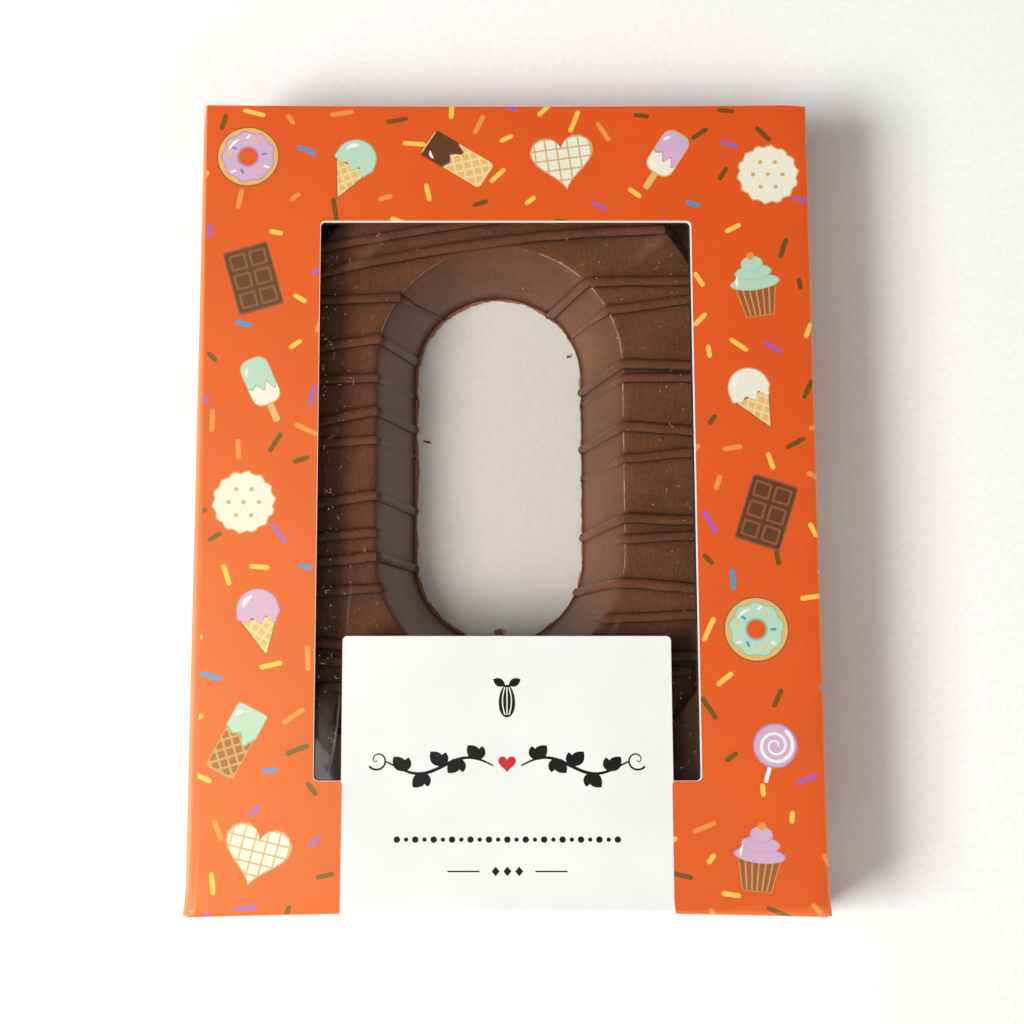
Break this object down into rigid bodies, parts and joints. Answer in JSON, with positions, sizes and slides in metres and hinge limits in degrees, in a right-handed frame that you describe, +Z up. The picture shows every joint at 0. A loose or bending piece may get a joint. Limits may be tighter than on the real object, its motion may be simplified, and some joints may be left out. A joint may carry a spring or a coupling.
{
  "type": "chocolate letter",
  "caption": "Moulded milk chocolate letter O with raised drizzle, in a shut card carton with a film window and a plain label tongue.",
  "frame": {"origin": "on the surface that the carton lies on, under the middle of its back panel", "axes": "+Z up out of the front panel and its window, +Y towards the carton's top edge, +X to the right as the window is looked at"},
  "size_m": [0.121, 0.1584, 0.018],
  "materials": {
    "printed_card": "orange print with a satin varnish on white folding card, white label tongue, white cut edges",
    "clear_film": "clear glossy film",
    "dark_card": "matt dark brown card",
    "milk_chocolate": "satin moulded milk chocolate"
  },
  "bodies": {
    "root": {"carton": "printed_card", "window_film": "clear_film", "insert": "dark_card", "letter": "milk_chocolate"}
  },
  "joints": []
}
